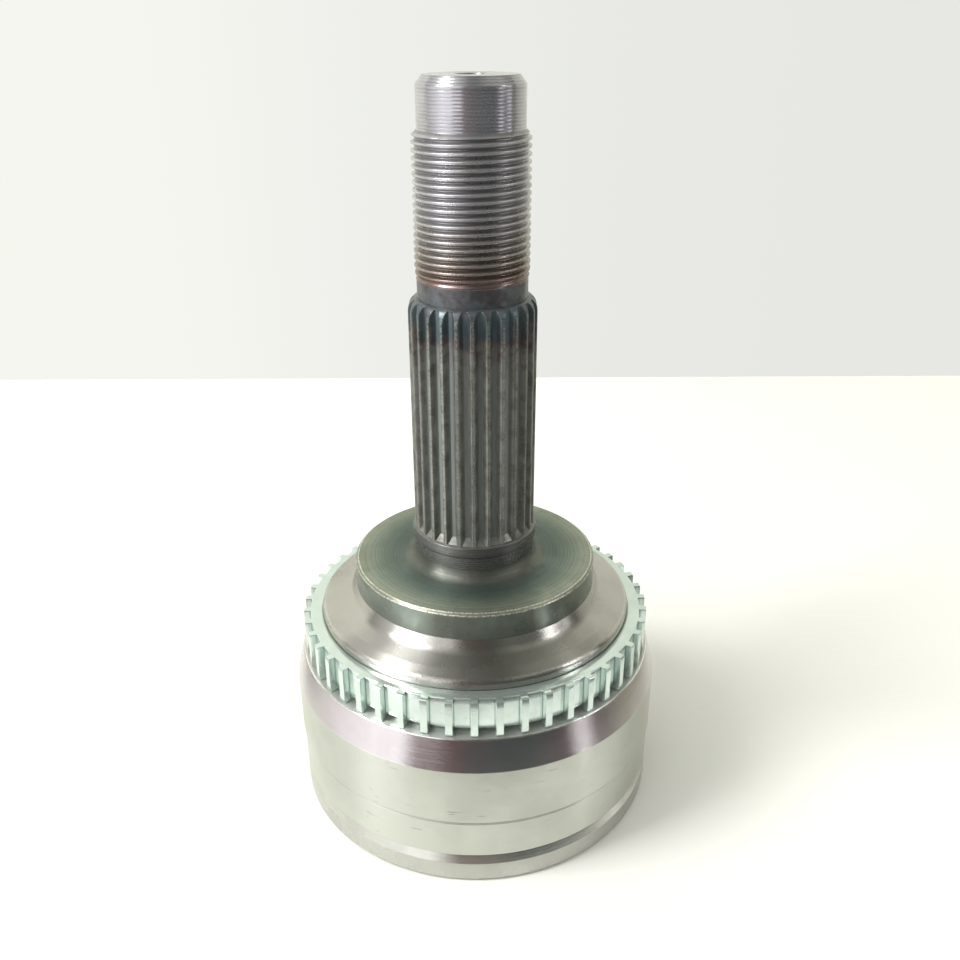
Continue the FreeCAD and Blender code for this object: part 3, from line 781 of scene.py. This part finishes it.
    def inside(self) -> bpy.types.Object:
        """Cavity and ball tracks, kept from the frame's own mesh.

        Returns:
            The inside's mesh, welded, with the outside left off.
        """
        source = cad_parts["outer_race"].data
        xyz = np.empty(len(source.vertices) * 3)
        source.vertices.foreach_get("co", xyz)
        xyz = xyz.reshape(-1, 3)
        source.calc_loop_triangles()
        tris = np.empty(len(source.loop_triangles) * 3, dtype=int)
        source.loop_triangles.foreach_get("vertices", tris)
        tris = tris.reshape(-1, 3)
        _, first, same = np.unique(np.round(xyz / MM, 4), axis=0, return_index=True, return_inverse=True)
        xyz, tris = xyz[first], same.reshape(-1)[tris]
        middle = xyz[tris].mean(axis=1) / MM
        far = xyz[tris] / MM
        reach = np.hypot(far[..., 0], far[..., 1]).max(axis=1)
        z = middle[:, 2]
        limit = np.where(
            z < 13, self.mouth_r + 0.02, np.where(z < 38, 36.8, np.where(z < 47, self.inside_r, 27.0)),
        )
        keep = (reach < limit) & (z < 52.6) & (z > 0.001)
        tris = tris[keep]
        used, tris = np.unique(tris, return_inverse=True)
        tris = tris.reshape(-1, 3)
        distinct = (tris[:, 0] != tris[:, 1]) & (tris[:, 1] != tris[:, 2]) & (tris[:, 0] != tris[:, 2])
        mesh = bpy.data.meshes.new("outer_race_inside")
        mesh.from_pydata(xyz[used].tolist(), [], tris[distinct].tolist())
        mesh.materials.append(INSIDE.build())
        mesh.shade_smooth()
        mesh.set_sharp_from_angle(angle=math.radians(25))
        made = bpy.data.objects.new("outer_race_inside", mesh)
        bpy.context.scene.collection.objects.link(made)
        return made

    def build(self) -> None:
        """Make every skin and hand it to the outer body."""
        for make in (self.bell, self.spline, self.thread, self.pilot, self.inside):
            piece = make()
            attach(piece, "outer")
            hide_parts("outer_race")
            log.info("%s: %d faces", piece.name, len(piece.data.polygons))


@dataclass
class SensorRing:
    """Toothed ring pressed over the back of the bell."""

    bore_r: float = 36.42
    foot_r: float = 38.29
    floor_r: float = 39.49
    tip_r: float = 40.99
    low_z: float = 39.8
    foot_z: float = 38.65
    top_z: float = 47.4
    teeth: int = 48
    tooth_mm: float = 1.7

    def sections(self) -> tuple[np.ndarray, np.ndarray]:
        """Sections of the ring through a space and through a tooth, point for point.

        Returns:
            Two arrays of (radius, z), from the bore's foot round to the bore again.
        """
        bore, foot, floor, tip = self.bore_r, self.foot_r, self.floor_r, self.tip_r
        base, low, top = self.foot_z, self.low_z, self.top_z
        space = [
            (bore, base + 1.0), (bore, base + 0.1), (foot - 0.15, base), (foot, base + 0.15),
            (foot, low - 0.1), (foot + 0.1, low), (floor - 0.5, low),
        ]
        space += [
            (floor - 0.28, low + 0.03), (floor - 0.1, low + 0.12), (floor - 0.02, low + 0.27),
            (floor, low + 0.45), (floor, low + 2.5),
        ]
        tooth = [
            (bore, base + 1.0), (bore, base + 0.1), (foot - 0.1, base), (foot + 0.3, base),
            (foot + 0.7, base), (floor, base), (tip - 0.5, base),
        ]
        tooth += [
            (tip - 0.28, base + 0.03), (tip - 0.1, base + 0.12), (tip - 0.02, base + 0.27),
            (tip, base + 0.45), (tip, base + 3.5),
        ]
        rounding = ((0.0, 1.5), (0.0, 0.4), (0.02, 0.2), (0.1, 0.07), (0.25, 0.0), (0.6, 0.0), (1.2, 0.0))
        space += [(floor - inset, top - drop) for inset, drop in rounding]
        tooth += [(tip - inset * (1 + 1.5 * (inset > 0.3)), top - drop) for inset, drop in rounding]
        inner = [
            (bore + 0.5, top), (bore + 0.22, top - 0.03), (bore + 0.05, top - 0.15), (bore, top - 0.35),
        ]
        return np.array(space + inner), np.array(tooth + inner)

    def build(self) -> None:
        """Make the ring.

        Its section is the space's, carried over to the tooth's by a short smooth step at each flank.
        """
        share = np.array([0.0, .55, .82, .90, .95, 1.0, 1.05, 1.10, 1.18, 1.3, 1.5])
        half = self.tooth_mm / 2 / self.tip_r * self.teeth / (2 * np.pi)
        inner = np.concatenate([share * half, np.linspace(1.8 * half, 0.5, 4)])
        phase = np.unique(np.concatenate([inner, -inner[:-1]]))
        turn = ((np.arange(self.teeth)[:, None] + phase[None]) / self.teeth * 2 * np.pi).reshape(1, -1)
        where = np.tile(np.abs(phase), self.teeth)[None] / half
        raised = np.clip((1.10 - where) / 0.2, 0, 1)
        raised = raised * raised * (3 - 2 * raised)
        space, tooth = self.sections()
        path = space[:, None, :] + (tooth - space)[:, None, :] * raised[0][None, :, None]
        points = np.stack([path[..., 0] * np.cos(turn), path[..., 0] * np.sin(turn), path[..., 1]], axis=-1)
        points = np.concatenate([points, points[:1]])
        along = np.concatenate([[0.0], np.cumsum(np.abs(np.diff(space, axis=0)).sum(axis=1)), [0.0]])
        outer = np.append(
            (space[:, 0] > self.foot_r + 0.05) & (space[:, 1] < self.top_z - 0.05), False,
        )[:, None]
        # Painted shade: a dark line in each panel corner beside a tooth, and at the bore's top edge where
        # the ring meets the dome.
        corner = np.clip(1.6 - np.abs(where - 1.14) / 0.10, 0, 1)
        height = 1.0 - outer * corner
        height[-3:] = 0.0
        flank = np.clip(1 - np.abs(where - 0.93) / 0.08, 0, 1) * outer
        skin = Skin(
            "tone_ring_skin", points, along, flank, height, np.zeros(len(points), dtype=int),
            (False, False),
        )
        piece = skin.build([ZINC.build()], 35.0)
        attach(piece, "outer")
        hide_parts("tone_ring")
        log.info("%s: %d faces", piece.name, len(piece.data.polygons))


@dataclass
class Bearing:
    """Pieces inside the bell, kept as the frame has them and dressed."""

    balls: int = 6

    def build(self) -> None:
        """Give each inner piece its finish."""
        finishes = {"cage": CAGE, "inner_race": RACE, "retaining_ring": WIRE}
        ball = BALL.build()
        for name, finish in finishes.items():
            self.dress(name, finish.build())
        for number in range(1, self.balls + 1):
            self.dress(f"ball_{number}", ball)

    def dress(self, name: str, material: bpy.types.Material) -> None:
        """Put one material on a frame node.

        Args:
            name: The node.
            material: Its finish.
        """
        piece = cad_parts[name]
        piece.data.materials.clear()
        piece.data.materials.append(material)
        log.info("%s dressed with %s", name, material.name)


@dataclass
class Studio:
    """White table and wall, soft light, and the camera."""

    eye: tuple[float, float, float] = (0.0018, -0.2003, 0.1734)
    pitch: float = 25.314
    roll: float = 0.28
    lens: float = 36.32
    wall_y: float = 0.295
    wall_height: float = 0.5
    half_width: float = 1.5            # of the table and the wall
    aim: tuple[float, float, float] = (0.0, 0.0, 0.06)     # what the lamps point at
    room_strength: float = 1.4         # of the room's light, for all but the backdrop
    mirror_r: float = 0.100            # reflections show the table up to this radius
    mouth_r: float = 0.0425            # open under the bell's mouth, so light reaches the balls

    def build(self) -> None:
        """Set the stage."""
        self.table()
        self.wall()
        self.world()
        self.lamp("key_softbox", (-0.86, -0.30, 1.02), 0.50, 12.6)
        self.lamp("left_window", (-0.46, -0.24, 0.34), 0.14, 0.6)
        self.lamp("room_lamp", (0.50, -0.16, 0.36), 0.10, 0.34)
        self.lamp("ceiling_fill", (0.25, -0.40, 1.20), 1.20, 3.0, False)
        self.camera()

    def plane(
        self, name: str, corners: list[tuple[float, float, float]], material: bpy.types.Material,
    ) -> None:
        """Add one flat stage piece.

        Args:
            name: Its name.
            corners: Its corners, in metres.
            material: Its finish.
        """
        mesh = bpy.data.meshes.new(name)
        mesh.from_pydata(corners, [], [tuple(range(len(corners)))])
        mesh.materials.append(material)
        made = bpy.data.objects.new(name, mesh)
        bpy.context.scene.collection.objects.link(made)

    def table(self) -> None:
        """White table: seen from above, open under the mouth, and ending near the joint for reflections."""
        made = bpy.data.materials.new("white_laminate")
        made.use_nodes = True
        tree = made.node_tree
        tree.nodes.clear()
        rays = node(tree, "ShaderNodeLightPath")
        place = node(tree, "ShaderNodeTexCoord").outputs["Object"]
        away = node(tree, "ShaderNodeVectorMath", {0: place}, operation="LENGTH").outputs["Value"]
        far = node(
            tree, "ShaderNodeMapRange",
            {"Value": away, "From Min": self.mirror_r - 0.003, "From Max": self.mirror_r + 0.003},
        )
        sight = node(
            tree, "ShaderNodeMath", {0: rays.outputs["Is Glossy Ray"], 1: rays.outputs["Is Shadow Ray"]},
            operation="MAXIMUM",
        )
        beyond = node(tree, "ShaderNodeMath", {0: far, 1: sight}, operation="MULTIPLY")
        below = node(tree, "ShaderNodeNewGeometry").outputs["Backfacing"]
        under = node(
            tree, "ShaderNodeMath", {0: below, 1: rays.outputs["Is Camera Ray"]}, operation="MULTIPLY",
        )
        mouth = node(tree, "ShaderNodeMath", {0: away, 1: self.mouth_r}, operation="LESS_THAN")
        seen_through = node(tree, "ShaderNodeMath", {0: under, 1: mouth}, operation="MAXIMUM")
        hidden = node(tree, "ShaderNodeMath", {0: beyond, 1: seen_through}, operation="MAXIMUM")
        matt = node(tree, "ShaderNodeBsdfDiffuse", {"Color": "#f2f2ec"})
        clear = node(tree, "ShaderNodeBsdfTransparent")
        both = node(tree, "ShaderNodeMixShader", {0: hidden, 1: matt, 2: clear})
        node(tree, "ShaderNodeOutputMaterial", {"Surface": both})
        w = self.half_width
        self.plane("table", [(-w, -w, 0), (w, -w, 0), (w, w, 0), (-w, w, 0)], made)

    def wall(self) -> None:
        """Off-white wall behind the table, drawn lighter on the left as painted light."""
        made = bpy.data.materials.new("off_white_wall_paint")
        made.use_nodes = True
        tree = made.node_tree
        tree.nodes.clear()
        rays = node(tree, "ShaderNodeLightPath")
        matt = node(tree, "ShaderNodeBsdfDiffuse", {"Color": "#dedfd6"})
        across = node(
            tree, "ShaderNodeSeparateXYZ", {0: node(tree, "ShaderNodeTexCoord").outputs["Object"]},
        ).outputs["X"]
        share = node(tree, "ShaderNodeMapRange", {"Value": across, "From Min": -0.16, "From Max": 0.16})
        # Painted light: the backdrop is lighter on the left, where the light falls from.
        painted_light_falloff = node(
            tree, "ShaderNodeValToRGB", {0: share},
            ((0.0, "#f5f6ef"), (0.3, "#eff0eb"), (0.65, "#e9eae5"), (1.0, "#e7e7e3")),
        )
        pale = node(tree, "ShaderNodeEmission", {"Color": painted_light_falloff})
        both = node(tree, "ShaderNodeMixShader", {0: rays.outputs["Is Camera Ray"], 1: matt, 2: pale})
        node(tree, "ShaderNodeOutputMaterial", {"Surface": both})
        w, y, top = self.half_width, self.wall_y, self.wall_height
        self.plane("wall", [(-w, y, 0), (w, y, 0), (w, y, top), (-w, y, top)], made)

    def world(self) -> None:
        """Room: a plain pale backdrop to the camera, and a dim front between bright sides for light."""
        made = bpy.data.worlds.new("room")
        bpy.context.scene.world = made
        made.use_nodes = True
        tree = made.node_tree
        tree.nodes.clear()
        rays = node(tree, "ShaderNodeLightPath")
        way = node(
            tree, "ShaderNodeSeparateXYZ", {0: node(tree, "ShaderNodeTexCoord").outputs["Generated"]},
        )
        front = node(tree, "ShaderNodeMath", {0: way.outputs["Y"], 1: -1.0}, operation="MULTIPLY")
        angle = node(tree, "ShaderNodeMath", {0: way.outputs["X"], 1: front}, operation="ARCTAN2")
        share = node(tree, "ShaderNodeMath", {0: angle, 1: 0.5 / math.pi, 2: 0.5}, operation="MULTIPLY_ADD")
        level = node(
            tree, "ShaderNodeMapRange",
            {"Value": way.outputs["Z"], "From Min": -0.14, "From Max": -0.06, "To Max": 0.06},
        )
        shifted = node(tree, "ShaderNodeMath", {0: share, 1: level}, operation="SUBTRACT")
        stops = (
            (-180, "#92928b"), (-150, "#8e8e86"), (-125, "#8b8b84"), (-108, "#c4c4be"), (-85, "#e6e4e2"),
            (-60, "#ffffff"), (-41, "#ffffff"), (-38, "#6e5d59"), (-14, "#584b4a"), (-2, "#3e4543"),
            (36, "#3b4240"), (52, "#544a49"), (59, "#5f5654"), (61, "#ffffff"), (68, "#ffffff"),
            (70, "#5b5452"), (84, "#55534c"), (98, "#82806f"), (130, "#8c8c80"), (150, "#b0b0a4"),
            (180, "#92928b"),
        )
        around = node(
            tree, "ShaderNodeValToRGB", {0: shifted},
            tuple((degrees / 360 + 0.5, code) for degrees, code in stops),
        )
        up = node(
            tree, "ShaderNodeMapRange",
            {"Value": way.outputs["Z"], "From Min": 0.45, "From Max": 0.75, "To Max": 0.8},
        )
        side = node(tree, "ShaderNodeMath", {0: way.outputs["X"], 1: 0.5, 2: 0.5}, operation="MULTIPLY_ADD")
        ceiling = node(
            tree, "ShaderNodeValToRGB", {0: side},
            (
                (0.12, "#dcdcd4"), (0.32, "#d2d3cc"), (0.42, "#62645f"), (0.58, "#585a55"),
                (0.68, "#8d8f84"), (0.88, "#b4b6aa"),
            ),
        )
        seen = node(tree, "ShaderNodeMix", {0: up, MIX_A: around, MIX_B: ceiling}, data_type="RGBA")
        colour = node(
            tree, "ShaderNodeMix", {0: rays.outputs["Is Camera Ray"], MIX_A: seen, MIX_B: "#f2f2ee"},
            data_type="RGBA",
        )
        strength = node(
            tree, "ShaderNodeMapRange",
            {"Value": rays.outputs["Is Camera Ray"], "To Min": self.room_strength, "To Max": 1.0},
        )
        back = node(tree, "ShaderNodeBackground", {"Color": colour, "Strength": strength})
        node(tree, "ShaderNodeOutputWorld", {"Surface": back})

    def lamp(
        self, name: str, place: tuple[float, float, float], size: float, watts: float,
        mirrored: bool = True,
    ) -> None:
        """Add one square soft light that points at the joint.

        Args:
            name: Its name.
            place: Where it stands, in metres.
            size: Side length, in metres.
            watts: Its power.
            mirrored: Whether reflections show it.
        """
        data = bpy.data.lights.new(name, "AREA")
        data.size, data.energy = size, watts
        made = bpy.data.objects.new(name, data)
        made.location = place
        made.rotation_euler = (Vector(self.aim) - Vector(place)).to_track_quat("-Z", "Y").to_euler()
        made.visible_glossy = mirrored
        bpy.context.scene.collection.objects.link(made)

    def camera(self) -> None:
        """Camera a little above the top of the stub, looking down."""
        data = bpy.data.cameras.new("camera")
        data.lens, data.sensor_width = self.lens, 36.0
        data.clip_start = 0.01
        made = bpy.data.objects.new("camera", data)
        made.location = self.eye
        made.rotation_euler = (math.radians(90 - self.pitch), math.radians(self.roll), 0.0)
        bpy.context.scene.collection.objects.link(made)
        bpy.context.scene.camera = made


def main() -> None:
    """Build the joint's skins, dress the rest, set the studio and note the sizes."""
    logging.basicConfig(level=logging.INFO, format="%(name)s: %(message)s")
    bpy.context.scene.view_settings.view_transform = "Standard"
    Forging().build()
    SensorRing().build()
    Bearing().build()
    Studio().build()


if __name__ == "__main__":
    main()
